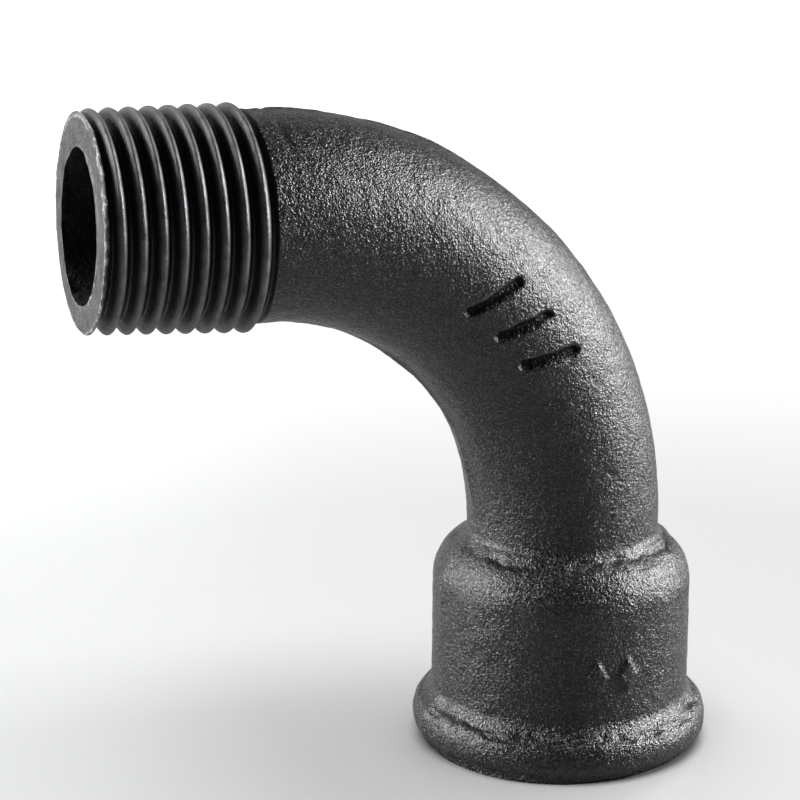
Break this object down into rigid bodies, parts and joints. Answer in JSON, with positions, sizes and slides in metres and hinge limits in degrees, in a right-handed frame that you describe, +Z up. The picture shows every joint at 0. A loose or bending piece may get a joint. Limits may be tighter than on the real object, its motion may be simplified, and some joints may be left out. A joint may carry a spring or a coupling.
{
  "type": "pipe elbow",
  "caption": "Curved cast iron pipe elbow turning a pipe run through a right angle, with a threaded spigot at one end and a beaded, internally threaded socket at the other.",
  "frame": {"origin": "centre of the socket's end face, in the plane that the elbow stands on", "axes": "+Z up along the socket's axis, away from its mouth; the spigot's axis is 55 mm above the origin and its end face looks along -X; +Y completes the right-handed frame"},
  "size_m": [0.0628, 0.0296, 0.0657],
  "materials": {
    "cast_skin": "as-cast skin with a fine sandy grain, blackened and lightly oiled",
    "machined_thread": "cut thread, smooth and oiled, worn bright along its crests"
  },
  "bodies": {
    "root": {"male_spigot": "machined_thread", "bend": "cast_skin", "shoulder": "cast_skin", "socket": "cast_skin", "rim_bead": "cast_skin"}
  },
  "joints": []
}
